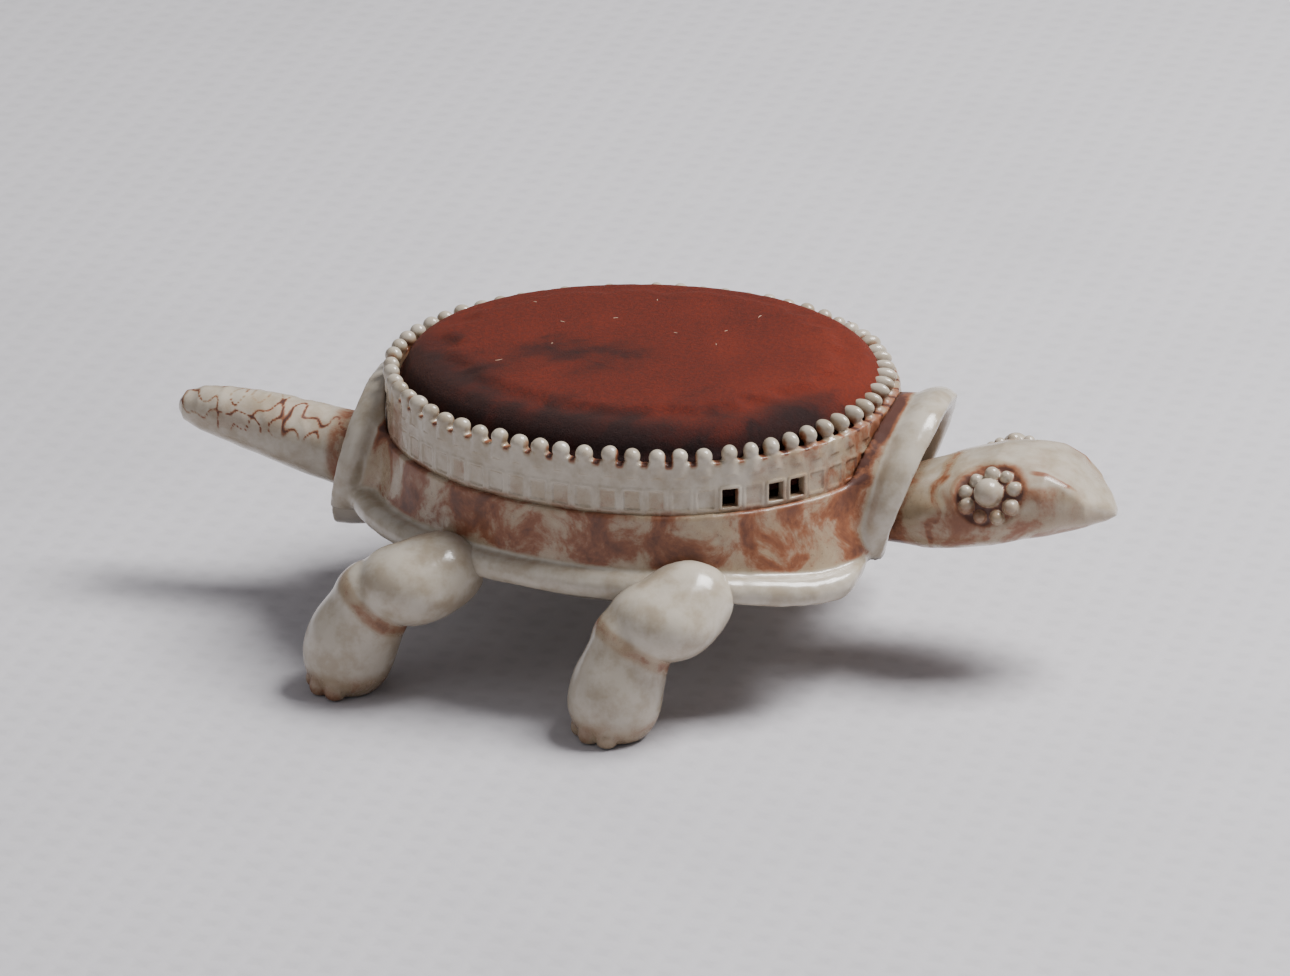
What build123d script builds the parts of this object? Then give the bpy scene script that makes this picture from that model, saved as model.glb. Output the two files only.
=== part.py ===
"""Turtle pin cushion: an enamelled cast-metal turtle with a velvet cushion held on its back by a
pronged gallery, and a head and a tail that nod and sway on swivel eyes inside the shell.

Millimetres. +X runs to the beak, +Z up, and the origin is on the table, midway along the turtle.
"""

from build123d import *
import os
from math import cos, hypot, radians, sin

# Overall
reach_past_gallery = 22.7  # the beak and the tail's tip, past the gallery's ends

# Outline of the gallery: half an ellipse to the front and a longer half to the rear
gallery_length = 51.4  # outside of the band, along X
gallery_width = 46.4  # outside of the band, along Y
widest_forward = 1.7  # how far ahead of the middle the outline is widest

# Shell casting
belly_height = 8.4  # underside of the belly above the table
margin_height = 13.9  # widest level of the shell
margin_outset = 2.9  # how far the shell stands out past the gallery at that level
belly_turn_height = 10.9  # where the belly turns up into the sides
belly_turn_outset = -2.6
split_height = 13.2  # where the belly plate meets the shell casting
deck_top = 21.0  # the face that the gallery stands on
deck_outset = 0.5
deck_thickness = 1.4
shell_wall = 1.4
belly_inset = 10.0  # how far the flat belly lies inside the gallery's outline
belly_rim_height = 0.7  # locating rim of the belly plate, above and below the split
belly_rim_inset = 2.6  # inner face of that rim, inside the gallery's outline
seat_height = 0.9  # raised ring on the deck that the cushion sits on
seat_width = 2.0

# Hoods: the collars round the neck and the tail
neck_hood_past = 2.5  # middle of the front rim, past the gallery's end
neck_hood_drop = 3.0  # that middle, below the top of the deck
neck_hood_lean = 23.0  # degrees, the top leaning forward
neck_hood_half_width = 9.8
neck_hood_half_height = 8.7
tail_hood_past = 3.5
tail_hood_drop = 4.6
tail_hood_lean = -12.0  # degrees, the top leaning in towards the cushion
tail_hood_half_width = 9.2
tail_hood_half_height = 8.2
hood_wall = 1.4
hood_root_inside = 7.1  # where each hood starts, inside the gallery's end
hood_root_share = 0.85  # root size over rim size
hood_root_rise = 0.4
lip_width = 2.4  # along the hood
lip_proud = 0.9

# Legs, from hip to sole: distance inside the gallery's end, outset from its side, and height
front_leg_steps = [(14.5, 0.2, 13.2), (16.7, 2.8, 11.2), (18.9, 4.4, 8.0), (20.7, 5.1, 4.6), (21.4, 5.2, 0)]
rear_leg_steps = [(11.1, -2.0, 13.0), (8.5, 0.6, 11.0), (5.3, 1.2, 8.0), (2.9, 1.0, 4.6), (2.3, 0.8, 0)]
leg_radii = [4.2, 4.9, 3.9, 4.6, 3.6]
leg_peg_radius = 1.4
leg_peg_margin = 0.2  # between a peg and the belly plate's rim below it
leg_peg_root = 1.9  # how far outside the hip's middle a peg starts
leg_peg_length = 6.1
leg_peg_clearance = 0.05

# Gallery: the band with square windows and prongs
band_thickness = 0.9
band_height = 5.1
window_width = 1.6
window_height = 1.9
window_middle = 1.5  # above the deck
prong_count = 64
prong_width = 1.1
prong_bead_radius = 0.76
prong_bead_height = 27.0

# Cushion
cushion_clearance = 0.2  # between the velvet and the gallery
prong_clearance = 0.2  # between the velvet and the prongs
velvet_thickness = 0.6
velvet_turn_in = 3.0
board_thickness = 1.2
cushion_top = 29.4
crown_land = 0.3  # upright stretch under the crown's rounding

# Swivels
swivel_inside = 5.5  # each swivel eye, inside the gallery's end
pivot_below_deck = 3.2  # under the deck's lower face
pivot_pin_radius = 0.6
running_clearance = 0.05
swivel_shank_radius = 0.7
swivel_head_radius = 1.6
swivel_head_thickness = 0.6
washer_thickness = 0.3
washer_radius = 2.1
eye_radius = 1.6
eye_thickness = 1.4
cheek_gap = 0.15  # each side of the eye
cheek_thickness = 1.1
cheek_half_height = 1.5
pin_overhang = 0.4

# Head: along X from its start, underside over the pivot, half width and height of the section
head_start_inside = 1.1
head_sections = [
    (0, -3.4, 5.4, 5.0),
    (5.4, -3.6, 6.6, 7.9),
    (12.2, -3.0, 7.3, 10.2),
    (17.4, -1.9, 6.0, 8.3),
    (20.8, -1.3, 4.0, 4.9),
]
head_tip = (-0.9, 0.9, 1.4)
head_wall = 1.2
eye_middle = (12.8, 6.6, 4.2)  # from the head's start, the middle and the pivot
eye_bead_radius = 1.35
eye_boss_radius = 2.9
eye_boss_depth = 1.6
eye_tilt = 30.0  # degrees, each eye looking up

# Tail, the same way
tail_start_inside = 2.1
tail_sections = [
    (0, -4.2, 3.6, 6.6),
    (6.9, -4.7, 4.1, 7.5),
    (15.9, -2.2, 3.3, 6.3),
    (22.2, -0.5, 2.3, 4.5),
]
tail_tip = (1.2, 0.9, 1.8)
tail_wall = 1.2

# Counterweights
head_weight_size = (11.0, 20.6, 4.8)
head_weight_place = (11.26, 1.5)  # behind the swivel and below the pivot
tail_weight_size = (9.0, 15.4, 4.8)
tail_weight_place = (10.8, 1.7)
weight_rounding = 1.4
weight_grip = 3.4  # how far the cheeks run into a weight
plug_depth = 2.2  # of the yoke's plug in the neck

# Worked out from the sizes above
half_length = gallery_length / 2
half_width = gallery_width / 2
half_reach = half_length + reach_past_gallery
front_half = half_length - widest_forward
rear_half = half_length + widest_forward
deck_bottom = deck_top - deck_thickness
pivot_height = deck_bottom - pivot_below_deck
swivel_from_middle = half_length - swivel_inside
hood_root = half_length - hood_root_inside
neck_hood_reach = half_length + neck_hood_past
neck_hood_height = deck_top - neck_hood_drop
tail_hood_reach = half_length + tail_hood_past
tail_hood_height = deck_top - tail_hood_drop
front_leg_path = [(half_length - x, -half_width - out, height) for x, out, height in front_leg_steps]
rear_leg_path = [(x - half_length, -half_width - out, height) for x, out, height in rear_leg_steps]
leg_peg_height = split_height + belly_rim_height + leg_peg_radius + leg_peg_margin
head_start = half_length - head_start_inside
tail_start = half_length - tail_start_inside
seat_top = deck_top + seat_height
cushion_inset = band_thickness + cushion_clearance
crown_inset = band_thickness / 2 + prong_bead_radius + prong_clearance
velvet_edge = prong_bead_height - prong_bead_radius - prong_clearance
crown_radius = cushion_top - velvet_edge - crown_land
board_bottom = seat_top + velvet_thickness
board_top = board_bottom + board_thickness
cheek_inside = eye_thickness / 2 + cheek_gap
cheek_outside = cheek_inside + cheek_thickness
os.makedirs("parts", exist_ok=True)


def save(builder, name):
    """Labels a finished piece and writes its STEP file."""
    builder.part.label = name
    export_step(builder.part, f"parts/{name}.step")


def oval_face(height, outset):
    """The gallery's outline grown by outset, as a level sketch."""
    with BuildSketch(Plane.XY.offset(height)) as face:
        with BuildLine():
            for half, start in ((front_half, -90), (rear_half, 90)):
                centre = (widest_forward, 0)
                EllipticalCenterArc(centre, half + outset, half_width + outset, start, arc_size=180)
        make_face()
    return face.sketch


def oval_loft(sections):
    """A solid through level ovals. Each section is a height and an outset."""
    with BuildPart() as solid:
        for height, outset in sections:
            add(oval_face(height, outset))
        loft()
    return solid.part


def oval_block(bottom, top, outset):
    """An upright block with the gallery's outline, grown by outset."""
    with BuildPart() as solid:
        add(oval_face(bottom, outset))
        extrude(amount=top - bottom)
    return solid.part


def oval_point(share):
    """The point a share of the way round the outline's perimeter, and the direction outwards there."""
    steps = 720
    points = []
    for i in range(steps + 1):
        angle = radians(360 * i / steps)
        half = front_half if cos(angle) > 0 else rear_half
        points.append((widest_forward + half * cos(angle), half_width * sin(angle)))
    lengths = [hypot(b[0] - a[0], b[1] - a[1]) for a, b in zip(points, points[1:])]
    left = share * sum(lengths)
    for (a, b), length in zip(zip(points, points[1:]), lengths):
        if left <= length:
            along = Vector(b[0] - a[0], b[1] - a[1], 0).normalized()
            return Vector(a[0], a[1], 0) + along * left, along.rotate(Axis.Z, -90)
        left -= length
    return oval_point(0)


def hood_planes(reach, height, lean, way):
    """The root and rim planes of a hood. way is 1 at the front and -1 at the back."""
    root = Plane(origin=(way * hood_root, 0, height + hood_root_rise), x_dir=(0, way, 0), z_dir=(way, 0, 0))
    out, down = cos(radians(lean)), -sin(radians(lean))
    rim = Plane(origin=(way * reach, 0, height), x_dir=(0, way, 0), z_dir=(way * out, 0, down))
    return root, rim


def hood_solid(planes, half_w, half_h, inset, past_rim=0.0):
    """The loft between a hood's root and rim, taken in by inset and carried on past the rim."""
    root, rim = planes
    with BuildPart() as solid:
        with BuildSketch(root):
            Ellipse(half_w * hood_root_share + lip_width - inset, half_h * hood_root_share - inset)
        with BuildSketch(rim):
            Ellipse(half_w - inset, half_h - inset)
        loft()
        if past_rim:
            with BuildSketch(rim):
                Ellipse(half_w - inset, half_h - inset)
            extrude(amount=past_rim)
    return solid.part


def hood_lip(planes, half_w, half_h):
    """The rounded lip round a hood's rim."""
    with BuildPart() as lip:
        with BuildSketch(planes[1].offset(-lip_width)):
            Ellipse(half_w + lip_proud, half_h + lip_proud)
        extrude(amount=lip_width)
        fillet(lip.edges(), radius=lip_proud)
    return lip.part


def slab(x_from, x_to):
    """Everything between two upright planes across the turtle."""
    with BuildPart() as block:
        with BuildSketch(Plane.YZ.offset(min(x_from, x_to))):
            Rectangle(4 * half_reach, 4 * half_reach)
        extrude(amount=abs(x_to - x_from))
    return block.part


# Shell casting: walls, deck, cushion seat and the two hoods
body_outside = oval_loft([
    (belly_height, -belly_inset),
    (belly_turn_height, belly_turn_outset),
    (margin_height, margin_outset),
    (deck_top, deck_outset),
])
body_inside = oval_loft([
    (belly_height + shell_wall, -belly_inset),
    (belly_turn_height + shell_wall, belly_turn_outset - shell_wall),
    (margin_height, margin_outset - shell_wall),
    (deck_bottom, deck_outset - shell_wall),
])
neck_planes = hood_planes(neck_hood_reach, neck_hood_height, neck_hood_lean, 1)
tail_planes = hood_planes(tail_hood_reach, tail_hood_height, tail_hood_lean, -1)
hoods = (
    (neck_planes, neck_hood_half_width, neck_hood_half_height),
    (tail_planes, tail_hood_half_width, tail_hood_half_height),
)
above_deck = oval_block(deck_top, 2 * half_reach, 0.1)
below_split = oval_block(0, split_height, half_length)


def hood_skins():
    """The outsides of both hoods, with their lips."""
    with BuildPart() as skins:
        for planes, half_w, half_h in hoods:
            add(hood_solid(planes, half_w, half_h, 0))
            add(hood_lip(planes, half_w, half_h))
    return skins.part


def peg_plane(path, side):
    """Where a leg's peg starts, facing into the shell. side is 1 on the right and -1 on the left."""
    hip_x, hip_y, _ = path[0]
    return Plane(origin=(hip_x, side * (hip_y - leg_peg_root), leg_peg_height), z_dir=(0, side, 0))


hood_outside = hood_skins()
with BuildPart() as shell_casting:
    add(body_outside)
    add(below_split, mode=Mode.SUBTRACT)
    add(hood_outside)
    add(above_deck, mode=Mode.SUBTRACT)
    add(body_inside, mode=Mode.SUBTRACT)
    for planes, half_w, half_h in hoods:
        add(hood_solid(planes, half_w, half_h, hood_wall, half_h), mode=Mode.SUBTRACT)
    add(oval_block(deck_bottom, deck_top, 0))
    add(oval_block(deck_top, seat_top, -cushion_inset))
    add(oval_block(deck_top, seat_top, -cushion_inset - seat_width), mode=Mode.SUBTRACT)
    with BuildSketch(Plane.XY.offset(deck_top)):
        with Locations((swivel_from_middle, 0), (-swivel_from_middle, 0)):
            Circle(swivel_shank_radius + running_clearance)
    extrude(amount=-2 * deck_thickness, mode=Mode.SUBTRACT)
    for path in (front_leg_path, rear_leg_path):
        for side in (1, -1):
            with BuildSketch(peg_plane(path, side)):
                Circle(leg_peg_radius + leg_peg_clearance)
            extrude(amount=leg_peg_length, mode=Mode.SUBTRACT)
save(shell_casting, "shell_casting")

# Belly plate: the dish that closes the shell from below, with a rim that locates it inside the walls
with BuildPart() as belly_rim:
    add(oval_block(split_height - belly_rim_height, split_height + belly_rim_height, half_length))
    add(body_inside, mode=Mode.INTERSECT)
    add(oval_block(0, half_reach, -belly_rim_inset), mode=Mode.SUBTRACT)
with BuildPart() as belly_plate:
    add(body_outside)
    add(below_split, mode=Mode.INTERSECT)
    add(body_inside, mode=Mode.SUBTRACT)
    add(belly_rim.part)
    add(hood_outside, mode=Mode.SUBTRACT)
    hood_spaces = [hood_solid(planes, half_w, half_h, 0, half_h) for planes, half_w, half_h in hoods]
    add(hood_spaces, mode=Mode.SUBTRACT)
save(belly_plate, "belly_plate")


# Legs
def leg(path):
    """A chubby leg: round sections along its path and a ball at the hip, cut flat at the table."""
    points = [Vector(*p) for p in path]
    with BuildPart() as solid:
        for i, (point, radius) in enumerate(zip(points, leg_radii)):
            along = points[min(i + 1, len(points) - 1)] - points[max(i - 1, 0)]
            with BuildSketch(Plane(origin=point, z_dir=along)):
                Circle(radius)
        loft()
        with Locations(points[0]):
            Sphere(leg_radii[0])
        add(slab(-half_reach, half_reach).moved(Location((0, 0, -2 * half_reach))), mode=Mode.SUBTRACT)
        add(body_outside, mode=Mode.SUBTRACT)
        add(hood_outside, mode=Mode.SUBTRACT)
        with BuildSketch(peg_plane(path, 1)):
            Circle(leg_peg_radius)
        extrude(amount=leg_peg_length)
    return solid.part


for end, path in (("front", front_leg_path), ("rear", rear_leg_path)):
    with BuildPart() as right_leg:
        add(leg(path))
    save(right_leg, f"leg_{end}_right")
    with BuildPart() as left_leg:
        add(mirror(right_leg.part, about=Plane.XZ))
    save(left_leg, f"leg_{end}_left")

# Gallery: the pierced band, with a window below each prong
prongs = [oval_point(i / prong_count) for i in range(prong_count)]
band_top = deck_top + band_height
with BuildPart() as gallery_band:
    add(oval_block(deck_top, band_top, 0))
    add(oval_block(deck_top, band_top, -band_thickness), mode=Mode.SUBTRACT)
    post_height = prong_bead_height - band_top
    for point, out in prongs:
        middle = point - out * (band_thickness / 2)
        foot = (middle.X, middle.Y, band_top - prong_width / 2)
        with BuildSketch(Plane(origin=foot, x_dir=out, z_dir=(0, 0, 1))):
            Rectangle(band_thickness * 0.8, prong_width)
        extrude(amount=post_height + prong_width / 2)
        with Locations((middle.X, middle.Y, prong_bead_height)):
            Sphere(prong_bead_radius)
    for point, out in prongs:
        place = point + out * band_thickness
        place.Z = deck_top + window_middle
        with BuildSketch(Plane(origin=place, x_dir=(0, 0, 1), z_dir=out)):
            Rectangle(window_height, window_width)
        extrude(amount=-3 * band_thickness, mode=Mode.SUBTRACT)
save(gallery_band, "gallery_band")


# Cushion: board, filling and velvet, one inside the other
def cushion_block(inset, bottom, edge, top):
    """The cushion's form taken in by inset: an upright edge, and a crown that clears the prongs."""
    with BuildPart() as block:
        add(oval_block(bottom, edge, -cushion_inset - inset))
        add(oval_block(bottom, top, -crown_inset - inset))
        fillet(block.edges().group_by(Axis.Z)[-1], radius=crown_radius - inset)
    return block.part


lining_edge = velvet_edge - velvet_thickness
lining_top = cushion_top - velvet_thickness
with BuildPart() as cushion_board:
    add(oval_block(board_bottom, board_top, -cushion_inset - velvet_thickness))
save(cushion_board, "cushion_board")

with BuildPart() as cushion_filling:
    add(cushion_block(velvet_thickness, board_top, lining_edge, lining_top))
save(cushion_filling, "cushion_filling")

with BuildPart() as cushion_velvet:
    add(cushion_block(0, seat_top, velvet_edge, cushion_top))
    add(cushion_block(velvet_thickness, board_bottom, lining_edge, lining_top), mode=Mode.SUBTRACT)
    add(oval_block(seat_top, board_bottom, -cushion_inset - velvet_turn_in), mode=Mode.SUBTRACT)
save(cushion_velvet, "cushion_velvet")


# Nodding head and tail. Each is worked out for the front and turned about Z for the rear
def limb_form(start, sections, tip, taken_in=0.0):
    """The loft through a head's or a tail's sections, taken in by a wall."""
    with BuildPart() as form:
        for along, under, half_w, height in sections:
            with BuildSketch(Plane.YZ.offset(start + along)):
                with Locations((0, pivot_height + under + height / 2)):
                    Ellipse(half_w - taken_in, height / 2 - taken_in)
        if not taken_in:
            under, half_w, height = tip
            with BuildSketch(Plane.YZ.offset(half_reach)):
                with Locations((0, pivot_height + under + height / 2)):
                    Ellipse(half_w, height / 2)
        loft()
    return form.part


def weight_block(size, place):
    """A counterweight's rounded block."""
    with BuildPart() as block:
        with Locations((swivel_from_middle - place[0], 0, pivot_height - place[1])):
            Box(*size)
        fillet(block.edges(), radius=weight_rounding)
    return block.part


def cheeks(start, weight_front):
    """The two straps that run from the neck, past the eye, into the weight."""
    with BuildPart() as pair:
        back = weight_front - weight_grip
        for side in (1, -1):
            with BuildSketch(Plane.XZ.offset(-side * (cheek_inside + cheek_thickness / 2))):
                with Locations(((start + back) / 2, pivot_height)):
                    Rectangle(start - back, 2 * cheek_half_height)
            extrude(amount=cheek_thickness / 2, both=True)
        with BuildSketch(Plane.XZ):
            with Locations((swivel_from_middle, pivot_height)):
                Circle(pivot_pin_radius)
        extrude(amount=2 * cheek_outside, both=True, mode=Mode.SUBTRACT)
    return pair.part


def pin_form():
    """The cross pin through both straps and the eye."""
    with BuildPart() as pin:
        with BuildSketch(Plane.XZ):
            with Locations((swivel_from_middle, pivot_height)):
                Circle(pivot_pin_radius)
        extrude(amount=cheek_outside + pin_overhang, both=True)
    return pin.part


def swivel_form():
    """The eye that hangs from the deck on a riveted shank."""
    head_bottom = deck_top + washer_thickness
    with BuildPart() as swivel:
        with BuildSketch(Plane.XZ):
            with Locations((swivel_from_middle, pivot_height)):
                Circle(eye_radius)
        extrude(amount=eye_thickness / 2, both=True)
        with BuildSketch(Plane.XY.offset(pivot_height)):
            with Locations((swivel_from_middle, 0)):
                Circle(swivel_shank_radius)
        extrude(amount=head_bottom - pivot_height)
        with BuildSketch(Plane.XY.offset(head_bottom)):
            with Locations((swivel_from_middle, 0)):
                Circle(swivel_head_radius)
        extrude(amount=swivel_head_thickness)
        with BuildSketch(Plane.XZ):
            with Locations((swivel_from_middle, pivot_height)):
                Circle(pivot_pin_radius + running_clearance)
        extrude(amount=eye_thickness, both=True, mode=Mode.SUBTRACT)
    return swivel.part


def eye_rosettes():
    """The raised boss and bead of each eye."""
    eye_x, eye_y, eye_z = eye_middle
    with BuildPart() as eyes:
        for side in (1, -1):
            outwards = (0, side * cos(radians(eye_tilt)), sin(radians(eye_tilt)))
            face = Plane(origin=(head_start + eye_x, side * eye_y, pivot_height + eye_z), z_dir=outwards)
            with BuildSketch(face):
                Circle(eye_boss_radius)
            extrude(amount=-eye_boss_depth)
            with Locations(face):
                Sphere(eye_bead_radius)
    return eyes.part


limbs = (
    ("head", head_start, head_sections, head_tip, head_wall, head_weight_size, head_weight_place, 0),
    ("tail", tail_start, tail_sections, tail_tip, tail_wall, tail_weight_size, tail_weight_place, 180),
)
for name, start, sections, tip, wall, weight_size, weight_place, turn in limbs:
    weight_front = swivel_from_middle - weight_place[0] + weight_size[0] / 2
    hollow = limb_form(start, sections, tip, wall)
    straps = cheeks(start, weight_front)

    with BuildPart() as casting:
        add(limb_form(start, sections, tip))
        if name == "head":
            add(eye_rosettes())
        add(hollow, mode=Mode.SUBTRACT)
    with BuildPart() as yoke:
        add(hollow)
        add(slab(start, start + plug_depth), mode=Mode.INTERSECT)
        add(straps)
    with BuildPart() as weight:
        add(weight_block(weight_size, weight_place))
        add(straps, mode=Mode.SUBTRACT)
    with BuildPart() as pin:
        add(pin_form())
    with BuildPart() as swivel:
        add(swivel_form())

    pieces = (casting, yoke, weight, pin, swivel)
    for piece, what in zip(pieces, ("casting", "yoke", "weight", "pivot_pin", "swivel_eye")):
        with BuildPart() as placed:
            add(piece.part, rotation=(0, 0, turn))
        save(placed, f"{name}_{what}")

with BuildPart() as swivel_washers:
    with BuildSketch(Plane.XY.offset(deck_top)):
        with Locations((swivel_from_middle, 0), (-swivel_from_middle, 0)):
            Circle(washer_radius)
            Circle(swivel_shank_radius + running_clearance, mode=Mode.SUBTRACT)
    extrude(amount=washer_thickness)
save(swivel_washers, "swivel_washers")
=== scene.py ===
"""The looks of the turtle pin cushion: enamelled castings, a pronged gallery and a velvet cushion."""

from math import cos, pi, radians, sin

import bpy
import numpy as np
from bpy.props import FloatProperty, FloatVectorProperty, IntProperty, PointerProperty
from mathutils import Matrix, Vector


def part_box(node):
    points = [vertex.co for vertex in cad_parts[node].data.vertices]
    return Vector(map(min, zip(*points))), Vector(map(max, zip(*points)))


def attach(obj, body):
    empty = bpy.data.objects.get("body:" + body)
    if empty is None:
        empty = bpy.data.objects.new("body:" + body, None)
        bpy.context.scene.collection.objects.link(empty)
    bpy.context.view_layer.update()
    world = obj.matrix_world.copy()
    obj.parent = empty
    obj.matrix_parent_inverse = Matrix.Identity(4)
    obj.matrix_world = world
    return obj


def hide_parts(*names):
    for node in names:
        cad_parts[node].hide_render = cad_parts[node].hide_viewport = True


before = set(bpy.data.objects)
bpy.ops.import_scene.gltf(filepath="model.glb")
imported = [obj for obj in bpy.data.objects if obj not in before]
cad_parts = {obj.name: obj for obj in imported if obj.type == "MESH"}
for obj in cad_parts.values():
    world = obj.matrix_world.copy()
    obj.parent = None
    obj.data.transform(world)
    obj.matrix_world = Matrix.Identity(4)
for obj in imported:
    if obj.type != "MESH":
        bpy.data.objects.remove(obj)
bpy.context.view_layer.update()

bl_info = {
    "name": "Turtle Pin Cushion",
    "version": (1, 0, 0),
    "blender": (4, 5, 0),
    "location": "View3D > Sidebar > Turtle",
    "description": "Builds an enamelled turtle pin cushion with a velvet cushion round a packed frame",
    "category": "Add Mesh",
}

MM = 1000.0  # millimetres in a metre: fields are worked out in millimetres


# ------------------------------------------------------------------ sizes taken from the frame
def corners_mm(node):
    """The lowest and highest corners of a frame node, in millimetres."""
    low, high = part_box(node)
    return np.array(low) * MM, np.array(high) * MM


gallery_low, gallery_high = corners_mm("gallery_band")
velvet_low, velvet_high = corners_mm("cushion_velvet")
head_low, head_high = corners_mm("head_casting")
tail_low, tail_high = corners_mm("tail_casting")
belly_low, belly_high = corners_mm("belly_plate")
DECK_TOP = gallery_low[2]


# ------------------------------------------------------------------ properties
def length(name, text, default_mm):
    """A length property, given in millimetres and stored in metres."""
    size = default_mm / MM
    return FloatProperty(name=name, description=text, default=size, min=0, unit="LENGTH", precision=5)


def angle(name, text, degrees):
    """An angle property, given in degrees."""
    return FloatProperty(name=name, description=text, default=radians(degrees), subtype="ANGLE")


def tint(name, text, default):
    """A colour property."""
    return FloatVectorProperty(name=name, description=text, default=default, min=0, max=1, subtype="COLOR")


class TurtleShellSizes(bpy.types.PropertyGroup):
    gallery_length: length("Gallery length", "Outside of the gallery band, nose to tail", 51.4)
    gallery_width: length("Gallery width", "Outside of the gallery band, side to side", 46.4)
    widest_forward: length("Widest forward", "How far ahead of the middle the oval is widest", 1.7)
    wall: length("Wall", "Thickness of the shell's wall", 1.4)
    margin_radius: length("Margin radius", "Radius of the rolled margin", 1.35)
    margin_height: length("Margin height", "Height of the rolled margin's middle", 13.9)
    waist_outset: length("Waist outset", "How far the margin stands out between the legs", 1.3)
    quarter_outset: length("Quarter outset", "How much further it stands out at the shoulders", 1.9)
    lip_width: length("Lip width", "Width of the band round each hood", 2.6)
    lip_proud: length("Lip proud", "How far that band stands proud", 0.7)
    cell: length("Shell cell", "Fineness of the shell's mesh", 0.27)


class TurtleHoodSizes(bpy.types.PropertyGroup):
    root: length("Hood root", "Where both hoods start, from the middle", 18.6)
    root_share: FloatProperty(name="Root share", description="Root size over rim size", default=0.85)
    root_flare: length("Root flare", "How much wider each hood is at its root", 2.4)
    neck_reach: length("Neck hood reach", "Middle of the front hood's rim", 28.2)
    neck_height: length("Neck hood height", "Height of the front hood's middle", 18.0)
    neck_lean: angle("Neck hood lean", "Lean of the front rim", 20)
    neck_half_width: length("Neck hood half width", "Half the front hood's width", 9.8)
    neck_half_height: length("Neck hood half height", "Half the front hood's height", 8.7)
    tail_reach: length("Tail hood reach", "Middle of the rear hood's rim", 29.2)
    tail_height: length("Tail hood height", "Height of the rear hood's middle", 16.4)
    tail_lean: angle("Tail hood lean", "Lean of the rear rim", -12)
    tail_half_width: length("Tail hood half width", "Half the rear hood's width", 9.2)
    tail_half_height: length("Tail hood half height", "Half the rear hood's height", 8.2)


class TurtleGallerySizes(bpy.types.PropertyGroup):
    prongs: IntProperty(name="Prongs", description="Number of prongs round the cushion", default=64, min=12)
    band: length("Band", "Thickness of the pierced band", 0.9)
    band_top: length("Band top", "Height of the band above the deck", 5.1)
    prong_radius: length("Prong radius", "Radius of a prong's stem", 0.64)
    bead_radius: length("Bead radius", "Radius of a prong's rounded end", 0.84)
    bead_height: length("Bead height", "Middle of the beads above the deck", 5.9)
    window_width: length("Window width", "Width of each window", 1.5)
    window_height: length("Window height", "Height of each window", 1.8)
    window_middle: length("Window middle", "Middle of the windows above the deck", 1.5)
    open_share: FloatProperty(name="Open windows", description="Share of windows not clogged with enamel",
                              default=0.12, min=0, max=1, subtype="FACTOR")
    cell: length("Gallery cell", "Fineness of the gallery's mesh", 0.14)


class TurtleCushionSizes(bpy.types.PropertyGroup):
    inset: length("Cushion inset", "Gap from the gallery's outside to the velvet", 1.15)
    voxel: length("Cushion voxel", "Fineness of the cushion's cloth", 0.6)
    puff: length("Puff", "The most that the stuffing pushes the velvet out", 0.6)
    pressure: FloatProperty(name="Pressure", description="Pressure of the stuffing", default=4, min=0)
    dimple: length("Dimple", "Depth of the velvet's uneven wear", 0.22)
    fibre: length("Fibre", "Radius of a stray lint fibre", 0.045)


class TurtleLimbSizes(bpy.types.PropertyGroup):
    leg_cell: length("Leg cell", "Fineness of the legs' meshes", 0.22)
    head_cell: length("Head cell", "Fineness of the head's mesh", 0.16)
    tail_cell: length("Tail cell", "Fineness of the tail's mesh", 0.18)
    toe: length("Toe", "Radius of a toe", 1.1)
    eye: length("Eye", "Radius of an eye bead", 1.4)
    ring: length("Eye ring", "Radius of the ring of beads round an eye", 2.55)
    ring_bead: length("Ring bead", "Radius of a bead in that ring", 0.66)
    wall: length("Limb wall", "Thickness of the head's and the tail's walls", 1.2)


# ------------------------------------------------------------------ fields: negative inside, in millimetres
def smooth_min(a, b, k):
    """The union of two fields with a fillet of about k."""
    h = np.clip(0.5 + 0.5 * (b - a) / k, 0, 1)
    return b * (1 - h) + a * h - k * h * (1 - h)


def smooth_max(a, b, k):
    """The overlap of two fields with a rounded edge of about k."""
    return -smooth_min(-a, -b, k)


def step(low, high, value):
    """0 below low, 1 above high, smooth between."""
    t = np.clip((value - low) / (high - low), 0, 1)
    return t * t * (3 - 2 * t)


def ball(p, middle, radii):
    """An ellipsoid's field."""
    q = (p - np.array(middle)) / np.array(radii)
    r = np.sqrt((q * q).sum(1))
    slope = np.sqrt(((q / np.array(radii)) ** 2).sum(1)) + 1e-9
    return (r - 1) * r / slope


def rod(p, a, b, ra, rb):
    """A round-ended rod's field, with its own radius at each end."""
    a, b = np.array(a, float), np.array(b, float)
    t = np.clip(((p - a) @ (b - a)) / ((b - a) @ (b - a)), 0, 1)
    return np.sqrt(((p - a - t[:, None] * (b - a)) ** 2).sum(1)) - (ra + (rb - ra) * t)


def ripple(p, size, seed, waves=10):
    """Smooth random waves between about -1 and 1, with features about size across."""
    rng = np.random.default_rng(seed)
    total = np.zeros(len(p))
    for _ in range(waves):
        way = rng.normal(size=3)
        way *= 2 * pi / size / np.linalg.norm(way) * rng.uniform(0.6, 1.3)
        total += np.sin(p @ way + rng.uniform(0, 2 * pi))
    return total / np.sqrt(waves)


def half_sizes(s):
    """The oval's reach ahead of its widest place and behind it, and half its width, in millimetres."""
    half_length, half_width = s.gallery_length / 2, s.gallery_width / 2
    return (half_length - s.widest_forward) * MM, (half_length + s.widest_forward) * MM, half_width * MM


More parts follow.
